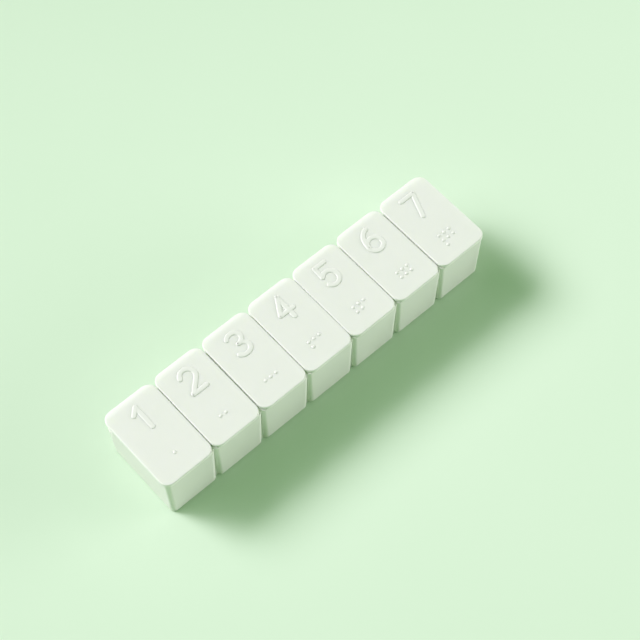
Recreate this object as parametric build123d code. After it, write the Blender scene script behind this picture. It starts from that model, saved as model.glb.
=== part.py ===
from build123d import *
import math
import os

# Weekly pill box: one moulded tray of seven cups, and seven lids that clip on behind.
# X runs along the row of cups, Y from the opening edge to the hinge edge, and Z up.
# The origin lies on the table, under the middle of the closed box.

# Driving dimensions, in millimetres and degrees

# The whole box
cup_count = 7
pitch = 21.5            # from the middle of one cup to the middle of the next
box_height = 26.0       # from the table to the top of the closed lids

# Tray
wall = 1.2              # outer walls at the rim
partition = 1.2         # walls between two cups at the rim
floor = 1.5             # under each cup
wall_draft = 1.7        # slope of the outer walls, which lean in towards the table
cup_draft = 1.0         # slope of the walls inside a cup
cup_corner = 1.8        # outer upright corners
cup_round = 2.3         # inside corners and floor edge of a cup
cup_merge = 0.3         # how far the outsides of two cups run into each other at the rim
notch_depth = 1.3       # of the upright notches where two cups meet
foot_edge = 0.5         # broken edge that stands on the table
foot_width = 2.0        # standing ring, measured in from the edge of the cup's floor
foot_recess = 0.4       # hollow inside the standing ring

# Lids
lid_depth = 36.5        # from the opening edge to the hinge edge
lid_thickness = 1.4
lid_gap = 0.35          # between two neighbouring lids
lid_end_reach = 0.75    # how far the outermost lids run past their half pitch
lid_front_corner = 3.6
lid_back_corner = 4.2
lid_edge = 0.25         # broken upper edge of the plate
back_round = 3.0        # how far in from the back edge the top starts to curve down
back_drop = 0.9         # how far the top has curved down at the back edge
front_overhang = 0.6    # lid past the tray, along the opening edge
back_overhang = 0.6     # lid past the tray, along the hinge edge
end_overhang = 0.7      # lid past the tray, at the two ends of the row
seat_gap = 0.1          # between the tray's rim and the closed lid

# Plug rim under each lid, which enters the cup
rim_depth = 2.5
rim_wall = 1.0
rim_clearance = 0.3
bead_length = 8.0       # friction bead on the front of the rim
bead_radius = 0.5
bead_height = 0.18

# Hinge: a bar between two ears of the tray, in a clip of the lid
hinge_inset = 2.2       # axis, measured in from the lid's back edge
hinge_drop = 2.0        # axis, measured down from the lid's underside
bar_radius = 1.0
bar_clearance = 0.05
clip_radius = 1.8
clip_width = 9.6
clip_mouth = 1.5        # slot that snaps over the bar
clip_neck = 2.4         # web between the clip and the plate
clip_gap = 0.35         # between the clip and the tray's back wall
side_play = 0.3         # between the clip and each ear
ear_radius = 1.6
ear_width = 1.4
ear_reach = 5.0         # how far the ear's web runs down the wall below the axis
ledge_drop = 4.4        # ledge that the open lids pass, measured down from the axis

# Where each lid has come to rest along its bar, as a share of its free play
lid_rest = (0.0, -0.2, 0.4, 0.1, -0.6, -0.6, 0.0)

# Places that follow from those sizes
row_half = cup_count * pitch / 2
row_end = row_half + lid_end_reach
tray_end = row_end - end_overhang
lid_front = -lid_depth / 2
lid_back = lid_depth / 2
lid_under = box_height - lid_thickness
tray_top = lid_under - seat_gap
hinge_y = lid_back - hinge_inset
hinge_z = lid_under - hinge_drop
tray_front = lid_front + front_overhang
tray_back = lid_back - back_overhang
pocket_wall = hinge_y - clip_radius - clip_gap
ledge = hinge_z - ledge_drop
cup_front = tray_front + wall
cup_back = pocket_wall - wall
cup_depth = tray_top - floor
cup_lean = math.tan(math.radians(cup_draft))
wall_lean = math.tan(math.radians(wall_draft))
back_radius = (back_round**2 + back_drop**2) / (2 * back_drop)
free_play = min(side_play, lid_gap, rim_clearance)


def cup_middle(index):
    """X of the middle of a cup's pitch."""
    return (index + 0.5) * pitch - row_half


def lid_shift(index):
    """How far along X a lid stands from the middle of its bar."""
    return lid_rest[index % len(lid_rest)] * free_play


def row_sides(index, gap, end):
    """X of the two sides of one place in the row, with the outermost sides at the row's end."""
    left = cup_middle(index) - (pitch - gap) / 2
    right = cup_middle(index) + (pitch - gap) / 2
    if index == 0:
        left = -end
    if index == cup_count - 1:
        right = end
    return left, right


def cup_sides(index):
    """X of a cup's two inner walls at the rim."""
    return row_sides(index, partition, tray_end - wall)


def plan(sides, front, back, inset=0):
    """Rectangle in the XY plane, with all four sides drawn in by an inset."""
    left, right = sides
    middle = Pos((left + right) / 2, (front + back) / 2)
    return middle * Rectangle(right - left - 2 * inset, back - front - 2 * inset)


def hanging_block(shape, height, slope):
    """Block that hangs down from the level of the rim, with its walls leaning in."""
    block = extrude(Pos(0, 0, tray_top) * shape, amount=-height)
    walls = block.faces().filter_by(Axis.Z, reverse=True)
    return draft(walls, Plane(origin=(0, 0, tray_top)), -slope)


def room(front, low):
    """Empty space along the whole row, behind a front and above a level."""
    depth = lid_depth - front
    height = 2 * box_height - low
    return Pos(0, front + depth / 2, low + height / 2) * Box(4 * row_end, depth, height)


def cup_shell(index):
    """Solid outside of one cup, with rounded upright edges and a broken edge at the foot."""
    rim = plan(row_sides(index, -cup_merge, tray_end), tray_front, tray_back)
    block = hanging_block(rim, tray_top, wall_draft)
    block = fillet(block.edges().group_by(Axis.Z)[1], cup_corner)
    return chamfer(block.edges().group_by(Axis.Z)[0], foot_edge)


def notch_core():
    """Middle of the tray, which closes the notches between the cups at their depth."""
    shape = plan((-tray_end, tray_end), tray_front, tray_back, notch_depth)
    return hanging_block(shape, tray_top, wall_draft)


def cup_hollow(index):
    """Inside of one cup, with rounded corners that run into a rounded floor."""
    block = hanging_block(plan(cup_sides(index), cup_front, cup_back), cup_depth, cup_draft)
    floor_edges, upright_edges, rim_edges = block.edges().group_by(Axis.Z)
    return fillet(floor_edges + upright_edges, cup_round)


def back_slot(index):
    """Hollow between a cup's back wall and the skirt under the ledge, open to the table."""
    inset = cup_depth * cup_lean
    left, right = cup_sides(index)
    shape = plan((left + inset, right - inset), pocket_wall - inset, tray_back - tray_top * wall_lean - wall)
    block = extrude(shape, amount=ledge - floor)
    return draft(block.faces().filter_by(Axis.Z, reverse=True), Plane.XY, cup_draft)


def standing_recess(index):
    """Shallow hollow under a cup, inside its standing ring."""
    shape = plan(cup_sides(index), cup_front, cup_back, cup_depth * cup_lean + foot_width)
    return extrude(fillet(shape.vertices(), cup_round), amount=foot_recess)


def on_hinge(x):
    """YZ plane at a place along the row, with the hinge axis as its origin."""
    return Plane(origin=(x, hinge_y, hinge_z), x_dir=(0, 1, 0), z_dir=(1, 0, 0))


def hinge_ear(x):
    """One ear: a round boss on the axis, drawn out to a web on the cup's back wall and the ledge."""
    root_y = pocket_wall - wall / 2 - hinge_y
    boss = CenterArc((0, 0), ear_radius, 0, 360)
    root = Line((root_y, ear_radius / 2), (root_y, -ear_reach))
    profile = make_hull([boss.edge(), root.edge()])
    return extrude(on_hinge(x) * profile, amount=ear_width / 2, both=True)


def hinge_bar(index):
    """Two ears with the round bar between them."""
    ear_x = clip_width / 2 + side_play + ear_width / 2
    middle = cup_middle(index)
    bar = extrude(on_hinge(middle) * Circle(bar_radius), amount=ear_x, both=True)
    return [hinge_ear(middle - ear_x), hinge_ear(middle + ear_x), bar]


def make_tray():
    """A row of cups, hollowed out, with a hinge bar for each lid in a pocket along the back."""
    tray = notch_core() + [cup_shell(index) for index in range(cup_count)]
    tray -= room(pocket_wall, ledge)
    for index in range(cup_count):
        tray += hinge_bar(index)
        tray -= [cup_hollow(index), back_slot(index), standing_recess(index)]
    return tray


def lid_plate(index):
    """Flat plate with rounded corners and a broken upper edge, which curves down at the back."""
    shape = plan(row_sides(index, lid_gap, row_end), lid_front, lid_back)
    shape = fillet(shape.vertices().group_by(Axis.Y)[0], lid_front_corner)
    shape = fillet(shape.vertices().group_by(Axis.Y)[-1], lid_back_corner)
    plate = extrude(Pos(0, 0, lid_under) * shape, amount=lid_thickness)
    plate = chamfer(plate.edges().group_by(Axis.Z)[-1], lid_edge)
    curve_y = lid_back - back_round
    curve = Pos(0, curve_y, box_height - back_radius) * Rot(0, 90, 0) * Cylinder(back_radius, 4 * row_end)
    return plate - (room(curve_y, lid_under) - curve)


def plug_rim(index):
    """Wall under the lid that enters the cup, with a bead on its opening side.

    The back of the rim turns about the hinge over the tray's back wall, so it stands as far
    in as the swing needs: the axis, the wall's top edge and the rim make a right angle.
    """
    inset = rim_clearance + (rim_depth + seat_gap) * cup_lean
    swing = math.hypot(hinge_y - cup_back + rim_clearance, tray_top - hinge_z)
    rim_back = hinge_y - swing + inset
    outer = plan(cup_sides(index), cup_front, rim_back, inset)
    outer = fillet(outer.vertices(), cup_round - rim_clearance)
    inner = plan(cup_sides(index), cup_front, rim_back, inset + rim_wall)
    inner = fillet(inner.vertices(), cup_round / 2)
    rim = extrude(Pos(0, 0, lid_under) * (outer - inner), amount=-rim_depth)
    bead_y = cup_front + inset + bead_radius - bead_height
    bead = Pos(cup_middle(index), bead_y, lid_under - rim_depth / 2)
    return rim + bead * Rot(0, 90, 0) * Cylinder(bead_radius, bead_length)


def hinge_clip(index):
    """Open ring that snaps over the tray's bar, on a web under the plate."""
    ring = Circle(clip_radius)
    ring += Pos(0, hinge_drop / 2) * Rectangle(clip_neck, hinge_drop)
    ring -= Circle(bar_radius + bar_clearance)
    ring -= Pos(0, -clip_radius) * Rectangle(clip_mouth, 2 * clip_radius)
    return extrude(on_hinge(cup_middle(index)) * ring, amount=clip_width / 2, both=True)


def make_lid(index):
    """One lid, closed, where it rests along its bar."""
    return Pos(lid_shift(index)) * (lid_plate(index) + plug_rim(index) + hinge_clip(index))


os.makedirs("parts", exist_ok=True)
export_step(make_tray(), "parts/cup_tray.step")
for index in range(cup_count):
    export_step(make_lid(index), f"parts/lid_{index + 1}.step")
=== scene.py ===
# %% [markdown]
# # A weekly pill box in white moulded plastic
# The object is a tray of seven cups with seven lids that clip on behind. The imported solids
# already have the right shapes, so this lesson keeps them all. It gives them a moulded
# finish, adds the raised marks on the lids, and sets up the floor, the light and the camera.

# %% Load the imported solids
import math

import bmesh
import bpy
import numpy as np
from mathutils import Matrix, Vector


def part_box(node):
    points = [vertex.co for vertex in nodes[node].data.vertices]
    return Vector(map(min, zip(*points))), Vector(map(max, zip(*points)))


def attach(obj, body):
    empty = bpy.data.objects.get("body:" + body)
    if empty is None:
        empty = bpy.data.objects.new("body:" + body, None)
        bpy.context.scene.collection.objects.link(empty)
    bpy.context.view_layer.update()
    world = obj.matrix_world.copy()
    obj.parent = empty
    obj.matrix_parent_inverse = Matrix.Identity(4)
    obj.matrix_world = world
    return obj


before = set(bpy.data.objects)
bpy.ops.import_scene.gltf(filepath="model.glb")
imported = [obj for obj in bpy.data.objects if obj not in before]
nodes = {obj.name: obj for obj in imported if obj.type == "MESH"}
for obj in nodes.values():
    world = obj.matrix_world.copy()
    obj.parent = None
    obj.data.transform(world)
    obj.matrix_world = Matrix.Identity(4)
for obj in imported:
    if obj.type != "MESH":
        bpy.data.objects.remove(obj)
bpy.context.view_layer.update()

scene = bpy.context.scene
lids = sorted(name for name in nodes if name.startswith("lid_"))
mm = 0.001
print("solids:", ", ".join(sorted(nodes)))

# %% [markdown]
# ## Shader maths as Python
# A finish is a small sum over noise and edges. Adding every Math node by hand hides that sum,
# so one class wraps a socket and lets Python's own operators add the nodes.

# %% A socket that can be added and multiplied
class Value:
    """One output socket of a node tree. Maths on it adds a Math node and returns its output."""

    def __init__(self, tree, socket=None):
        self.tree = tree
        self.socket = socket

    def node(self, kind, settings=None, inputs=None, output=0):
        """Adds a node: its settings come first, then the values or links of its inputs."""
        made = self.tree.nodes.new("ShaderNode" + kind)
        for name, setting in (settings or {}).items():
            setattr(made, name, setting)
        for name, content in (inputs or {}).items():
            if isinstance(content, Value):
                self.tree.links.new(content.socket, made.inputs[name])
            else:
                made.inputs[name].default_value = content
        return Value(self.tree, made.outputs[output])

    def mix_colours(self, share, first, second):
        """Two colours mixed, from the first at a share of 0 to the second at a share of 1."""
        return self.node("Mix", {"data_type": "RGBA"}, {0: share, 6: first, 7: second}, 2)

    def math(self, operation, first, second):
        return self.node("Math", {"operation": operation}, {0: first, 1: second})

    def __add__(self, other):
        return self.math("ADD", self, other)

    def __sub__(self, other):
        return self.math("SUBTRACT", self, other)

    def __rsub__(self, other):
        return self.math("SUBTRACT", other, self)

    def __mul__(self, other):
        return self.math("MULTIPLY", self, other)

    __radd__ = __add__
    __rmul__ = __mul__


def linear(red, green, blue):
    """Colour as a picture editor shows it, from 0 to 255, as the light that it stands for."""
    share = np.array([red, green, blue]) / 255
    light = np.where(share <= 0.04045, share / 12.92, ((share + 0.055) / 1.055) ** 2.4)
    return (*light.tolist(), 1.0)


# %% [markdown]
# ## The moulded finish
# The box is moulded in white plastic with a satin face: the mould was blasted, so the surface
# has a fine grain that breaks up the gloss. The colour drifts a little where the plastic ran
# in. Corners look soft because no moulded edge is sharp, and a Bevel node gives that softness
# to the shading without touching the solids. Light goes a little way into the plastic.

# %% Satin plastic
grain_size = 0.28 * mm
grain_gloss = 0.16
drift_size = 14 * mm
drift_gloss = 0.1
drift_share = 0.75
edge_softness = 0.3 * mm
plastic_ior = 1.49
light_depth = 1.2 * mm
depth_by_colour = (1.0, 1.0, 0.9)


def moulded_plastic(name, colour, shade, roughness, grain_height, depth_share):
    """Satin plastic: two close colours drift into each other, under a fine blasted grain."""
    material = bpy.data.materials.new(name)
    material.use_nodes = True
    tree = material.node_tree
    shader = tree.nodes["Principled BSDF"]
    graph = Value(tree)
    place = graph.node("TexCoord", output="Object")
    drift = graph.node("TexNoise", inputs={"Vector": place, "Scale": 1 / drift_size, "Detail": 3.0})
    grain = graph.node("TexNoise", inputs={"Vector": place, "Scale": 1 / grain_size, "Detail": 2.0})
    cloud = drift * drift_share + grain * (1 - drift_share)
    tint = graph.mix_colours(cloud, linear(*shade), linear(*colour))
    gloss = roughness + grain_gloss * (grain - 0.5) + drift_gloss * (drift - 0.5)
    soft_edge = graph.node("Bevel", {"samples": 8}, {"Radius": edge_softness})
    bumps = {"Height": grain, "Distance": grain_height, "Normal": soft_edge}
    relief = graph.node("Bump", inputs=bumps)
    for socket, content in (("Base Color", tint), ("Roughness", gloss), ("Normal", relief)):
        tree.links.new(content.socket, shader.inputs[socket])
    shader.inputs["IOR"].default_value = plastic_ior
    shader.inputs["Subsurface Weight"].default_value = depth_share
    shader.inputs["Subsurface Radius"].default_value = depth_by_colour
    shader.inputs["Subsurface Scale"].default_value = light_depth
    print("finish:", name, "with", len(tree.nodes), "nodes")
    return material


# Painted shade: the tray's colours are a little darker than the lids', for its cup walls take less
# light than the lid tops.
tray_plastic_painted_shade = moulded_plastic("tray_satin_painted_shade", colour=(228, 234, 222), shade=(223, 229, 216),
                              roughness=0.52, grain_height=0.012 * mm, depth_share=0.6)
lid_finish = moulded_plastic("lid_satin", colour=(239, 244, 234), shade=(235, 241, 229),
                             roughness=0.48, grain_height=0.010 * mm, depth_share=0.6)
mark_finish = moulded_plastic("mark_satin", colour=(238, 243, 233), shade=(235, 240, 229),
                              roughness=0.42, grain_height=0.006 * mm, depth_share=0.0)
nodes["cup_tray"].material_slots[0].material = tray_plastic_painted_shade
for name in lids:
    nodes[name].material_slots[0].material = lid_finish

# %% [markdown]
# ## Raised figures on the lids
# Each lid carries a raised mark in its back half. Here that is the plain number of the lid.
# A figure is a few strokes of a pen on a flat lid, so it is made as a profile carried along
# a path: half of a rounded bar is swept up one side of the stroke, round its end, and back
# down the other side, so one grid closes the whole stroke. Its underside is sunk in the lid.

# %% Meshes from whole arrays
weld_distance = 0.002 * mm
sliver_length = 0.001 * mm


def mesh_piece(name, grids, body, finish):
    """One object from several grids of points. Each grid closes on itself along its first side."""
    points, faces, start = [], [], 0
    for grid in grids:
        count, across = grid.shape[:2]
        index = np.arange(count * across).reshape(count, across) + start
        after = np.roll(index, -1, axis=0)
        quads = np.stack([index[:, :-1], after[:, :-1], after[:, 1:], index[:, 1:]], axis=-1)
        points.append(grid.reshape(-1, 3))
        faces.append(quads.reshape(-1, 4))
        start += count * across
    mesh = bpy.data.meshes.new(name)
    mesh.from_pydata(np.concatenate(points).tolist(), [], np.concatenate(faces).tolist())
    work = bmesh.new()
    work.from_mesh(mesh)
    bmesh.ops.remove_doubles(work, verts=work.verts, dist=weld_distance)
    bmesh.ops.dissolve_degenerate(work, edges=work.edges, dist=sliver_length)
    bmesh.ops.recalc_face_normals(work, faces=work.faces)
    work.to_mesh(mesh)
    work.free()
    mesh.shade_smooth()
    mesh.materials.append(finish)
    piece = bpy.data.objects.new(name, mesh)
    scene.collection.objects.link(piece)
    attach(piece, body)
    return piece


# %% The strokes of the figures
figure_height = 11.8 * mm
figure_width = 7.8 * mm
stroke_width = 1.9 * mm
stroke_rise = 0.25 * mm
stroke_sink = 0.12 * mm
arc_points = 40
half_wide = (figure_width - stroke_width) / 2
half_high = (figure_height - stroke_width) / 2


def line(*corners):
    """Straight pen stroke through corners, in shares of the figure's half width and height."""
    return np.array(corners) * (half_wide, half_high)


def arc(middle, radii, start, end):
    """Part of an ellipse from one angle to another, in degrees: its middle plus its radii times
    the cosine and sine, in shares of the figure's half width and half height."""
    turn = np.radians(np.linspace(start, end, arc_points))
    circle = np.stack([np.cos(turn), np.sin(turn)], axis=1)
    return (np.array(middle) + np.array(radii) * circle) * (half_wide, half_high)


# The 2 leaves its round top where a straight line to its left foot just touches the circle.
# The flag of the 1 starts a hair off the stem's end, so that the two strokes share no point.
two_top = 1 - half_wide / half_high
two_drop = (1 + two_top) * half_high
two_leave = math.degrees(math.atan2(-two_drop, -half_wide)
                         + math.acos(half_wide / math.hypot(half_wide, two_drop)))
figures = {
    1: [line((0.2, 1), (0.2, -1)), line((0.19, 0.99), (-0.65, 0.5))],
    2: [np.concatenate([arc((0, two_top), (1, 1 - two_top), 165, two_leave),
                        line((-1, -1))]),
        line((-1, -1), (1, -1))],
    3: [arc((0, 0.5), (0.95, 0.5), 150, -90), arc((0, -0.5), (1, 0.5), 90, -150)],
    4: [line((0.35, 1), (-1, -0.35)), line((-1, -0.35), (1, -0.35)),
        line((0.35, 1), (0.35, -1))],
    5: [line((0.8, 1), (-0.75, 1)), line((-0.75, 1), (-0.85, 0.08)),
        arc((-0.05, -0.36), (1, 0.64), 142, -145)],
    6: [np.concatenate([arc((0.6, -0.4), (1.6, 1.4), 96, 180),
                        arc((0, -0.4), (1, 0.6), 180, 540)])],
    7: [line((-1, 1), (1, 1)), line((1, 1), (-0.3, -1))],
}
print("figures:", {number: len(strokes) for number, strokes in figures.items()}, "strokes")


# %% Sweep a rounded bar along a stroke
stroke_step = 0.25 * mm
end_steps = 16


def even_path(corners, spacing):
    """The same path, with points at even steps: places along it are read at equal lengths."""
    steps = np.linalg.norm(np.diff(corners, axis=0), axis=1)
    run = np.concatenate([[0], np.cumsum(steps)])
    places = np.linspace(0, run[-1], max(2, round(run[-1] / spacing) + 1))
    return np.stack([np.interp(places, run, corners[:, axis]) for axis in (0, 1)], axis=1)


def raised_stroke(corners, middle, top):
    """Rounded bar over a path. A point lies at share r of the half width from the pen's line,
    along the side's normal or a fan round the end, at a height of rise times (1 - r to the 4th)
    to the power 0.6. Past the edge the surface drops into the lid and runs back to the line."""
    path = even_path(corners, stroke_step)
    ahead = np.gradient(path, axis=0)
    ahead /= np.linalg.norm(ahead, axis=1)[:, None]
    side = np.stack([ahead[:, 1], -ahead[:, 0]], axis=1)
    fan = np.radians(np.linspace(0, 180, end_steps + 1))[1:-1, None]
    end_fan = side[-1] * np.cos(fan) + ahead[-1] * np.sin(fan)
    start_fan = -side[0] * np.cos(fan) - ahead[0] * np.sin(fan)
    ends = np.ones((len(fan), 1))
    pen = np.concatenate([path, ends * path[-1], path[::-1], ends * path[0]])
    out = np.concatenate([side, end_fan, -side[::-1], start_fan])
    share = np.array([0, 0.25, 0.5, 0.68, 0.82, 0.91, 0.97, 1.0])
    rise = stroke_rise * (1 - share**4) ** 0.6
    share = np.concatenate([share, [1.0, 0.0]])
    rise = np.concatenate([rise, [-stroke_sink, -stroke_sink]])
    flat = middle + pen[:, None] + out[:, None] * share[:, None] * stroke_width / 2
    height = np.broadcast_to(top + rise, flat.shape[:2])
    return np.concatenate([flat, height[..., None]], axis=2)


# %% A figure on each lid
figure_shift = 8.2 * mm


def lid_number(name):
    """Place of a lid in the row, read from its name."""
    return int(name.removeprefix("lid_"))


def lid_top(name, shift):
    """Point on the middle line of a lid, a shift behind the box's middle, and its top's level."""
    low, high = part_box(name)
    return np.array([(low.x + high.x) / 2, shift]), high.z


for name in lids:
    middle, top = lid_top(name, figure_shift)
    strokes = [raised_stroke(corners, middle, top) for corners in figures[lid_number(name)]]
    piece = mesh_piece(name + "_figure", strokes, name, mark_finish)
    print(piece.name, len(piece.data.polygons), "faces")

# %% [markdown]
# ## Touch dots
# In front of the figure a few small domes can be felt with a finger: one dot for the first
# lid, two for the second, and so on. A small sphere sunk in the lid could stand for a dot, but
# most of it would never show. So a dome is a low profile turned about its own upright line,
# which sets its rise and its width apart.

# %% Domes in short rows
dot_radius = 0.72 * mm
dot_rise = 0.24 * mm
dot_spacing = 2.45 * mm
dot_row = 3
dots_shift = -9.4 * mm
dome_turn = 15


def dome(middle, top):
    """Dome of a dot: at share r of its radius it stands (1 - r squared) of its rise above the
    lid. Past the edge the surface drops into the lid and runs back to the dot's middle."""
    turn = np.radians(np.arange(0, 360, dome_turn))
    share = np.array([0, 0.3, 0.55, 0.75, 0.9, 1.0])
    rise = np.append(dot_rise * (1 - share**2), [-stroke_sink, -stroke_sink])
    share = np.append(share, [1.0, 0.0])
    circle = np.stack([np.cos(turn), np.sin(turn)], axis=1)
    flat = middle + circle[:, None] * share[:, None] * dot_radius
    height = np.broadcast_to(top + rise, flat.shape[:2])
    return np.concatenate([flat, height[..., None]], axis=2)


for name in lids:
    middle, top = lid_top(name, dots_shift)
    number = lid_number(name)
    rows = math.ceil(number / dot_row)
    wide = min(number, dot_row)
    index = np.arange(number)
    places = np.stack([index % dot_row - (wide - 1) / 2, (rows - 1) / 2 - index // dot_row], axis=1)
    domes = [dome(middle + place * dot_spacing, top) for place in places]
    mesh_piece(name + "_dots", domes, name, mark_finish)
print("dots:", sum(lid_number(name) for name in lids))

# %% [markdown]
# ## Floor
# The box stands on a sheet of plain mint paper. A curved backdrop would hide the horizon, but
# the camera looks down, so a flat sheet that is far larger than the view does as well: the same
# colour runs on behind the box. A faint cloud keeps it from looking like flat ink.
# Where the box closes off the sky, painted shade darkens the paper's colour a little, which evens
# out the light that the white walls throw on to it.

# %% Mint paper
paper_colour = linear(221, 245, 217)
paper_cloud = linear(217, 243, 213)
paper_painted_shade = linear(190, 213, 187)
cloud_scale = 9.0
sky_distance = 30 * mm
reach = 4.0

paper = bpy.data.materials.new("mint_paper")
paper.use_nodes = True
graph = Value(paper.node_tree)
place = graph.node("TexCoord", output="Object")
cloud = graph.node("TexNoise", inputs={"Vector": place, "Scale": cloud_scale, "Detail": 2.0})
tint = graph.mix_colours(cloud, paper_cloud, paper_colour)
# Painted shade: an occlusion mask mixes the paper towards a darker colour close to the box.
open_sky = graph.node("AmbientOcclusion", {"samples": 16}, {"Distance": sky_distance}, "AO")
tint = graph.mix_colours(open_sky, paper_painted_shade, tint)
paper_shader = paper.node_tree.nodes["Principled BSDF"]
paper.node_tree.links.new(tint.socket, paper_shader.inputs["Base Color"])
paper_shader.inputs["Roughness"].default_value = 0.9
paper_shader.inputs["Specular IOR Level"].default_value = 0.0

corners = [(-reach, -reach, 0), (reach, -reach, 0), (reach, reach, 0), (-reach, reach, 0)]
sheet = bpy.data.meshes.new("floor")
sheet.from_pydata(corners, [], [(0, 1, 2, 3)])
sheet.materials.append(paper)
floor = bpy.data.objects.new("floor", sheet)
scene.collection.objects.link(floor)
print("floor:", 2 * reach, "m across")

# %% [markdown]
# ## Light
# A soft key light stands behind the box on the left, so the shadow falls to the front and the
# right. It is wider than it is high, like three suns side by side, so the shadow's ends are
# softer than its long edge. A wide soft box stands near, low on the right: it opens the cup
# walls, and the shadow pales towards it. A small one high on the left evens out the floor. The
# room adds a faint green from the mint paper all round. Together they light a flat lid at
# about one, so each colour renders as written.

# %% Lamps that face the box
sun_distance = 1.0


def hang_lamp(lamp, azimuth, elevation, distance, strength, colour):
    """Turns a lamp towards the box. Azimuth turns from +X towards +Y, and angles are degrees."""
    lamp.energy = strength
    lamp.color = colour
    turn, lift = math.radians(azimuth), math.radians(elevation)
    flat = math.cos(lift)
    source = Vector((math.cos(turn) * flat, math.sin(turn) * flat, math.sin(lift)))
    holder = bpy.data.objects.new(lamp.name, lamp)
    holder.location = source * distance
    holder.rotation_euler = source.to_track_quat("Z", "Y").to_euler()
    scene.collection.objects.link(holder)
    return holder


def soft_sun(name, azimuth, elevation, spread, strength, colour):
    """Even light from far away on one side, as soft as its spread in degrees."""
    lamp = bpy.data.lights.new(name, "SUN")
    lamp.angle = math.radians(spread)
    hang_lamp(lamp, azimuth, elevation, sun_distance, strength, colour)


def soft_box(name, azimuth, elevation, distance, size, spread, strength, colour):
    """Soft box that stands near, so its light falls off along the row. A grid on its face holds
    the beam to a spread in degrees, which keeps it off the floor in front of it, and no surface
    mirrors it, so the lids don't glare when they are seen from behind."""
    lamp = bpy.data.lights.new(name, "AREA")
    lamp.shape = "RECTANGLE"
    lamp.size, lamp.size_y = size
    lamp.spread = math.radians(spread)
    holder = hang_lamp(lamp, azimuth, elevation, distance, strength, colour)
    holder.visible_glossy = False


# %% Key and two fills
key_turns = (112, 120, 128)
key_strength = 3.56
for number, turn in enumerate(key_turns):
    soft_sun(f"key_{number + 1}", azimuth=turn, elevation=38.5, spread=24,
             strength=key_strength / len(key_turns), colour=(0.96, 0.82, 1.0))
soft_box("front_fill", azimuth=328, elevation=10, distance=0.85, size=(0.85, 0.28), spread=60,
         strength=1.03, colour=(0.993, 0.832, 1.0))
soft_box("left_fill", azimuth=150, elevation=40, distance=0.85, size=(0.5, 0.3), spread=60,
         strength=0.21, colour=(0.985, 0.852, 1.0))

# %% Room
room_light = (0.07, 0.21, 0.04, 1.0)
room_seen = linear(207, 234, 203)
scene.world = bpy.data.worlds.new("room")
scene.world.use_nodes = True
room = Value(scene.world.node_tree)
seen = room.node("LightPath", output="Is Camera Ray")
for kind in ("Is Glossy Ray", "Is Transmission Ray"):
    seen = seen + room.node("LightPath", output=kind)
tint = room.mix_colours(seen, room_light, room_seen)
background = scene.world.node_tree.nodes["Background"]
scene.world.node_tree.links.new(tint.socket, background.inputs["Color"])
scene.view_settings.view_transform = "Standard"
print("room light:", room_light[:3])

# %% [markdown]
# ## Camera
# The photograph was taken with a long lens from high on the left of the opening edge. The
# camera looks at a point near the middle of the lids, and a small sideways shift puts the
# box where the photograph has it, without turning the view.

# %% Long lens from above
look_at = Vector((15.0, -11.7, 26.0)) * mm
distance = 626.6 * mm
yaw, pitch = math.radians(42.05), math.radians(61.27)
flat = math.cos(pitch)
forward = Vector((math.sin(yaw) * flat, math.cos(yaw) * flat, -math.sin(pitch)))
lens = bpy.data.cameras.new("camera")
lens.sensor_width = 36.0
lens.lens = 98.35
lens.shift_x = -0.0497
camera = bpy.data.objects.new("camera", lens)
camera.location = look_at - forward * distance
camera.rotation_euler = forward.to_track_quat("-Z", "Y").to_euler()
scene.collection.objects.link(camera)
scene.camera = camera
print("camera at", [round(value, 3) for value in camera.location], "m")
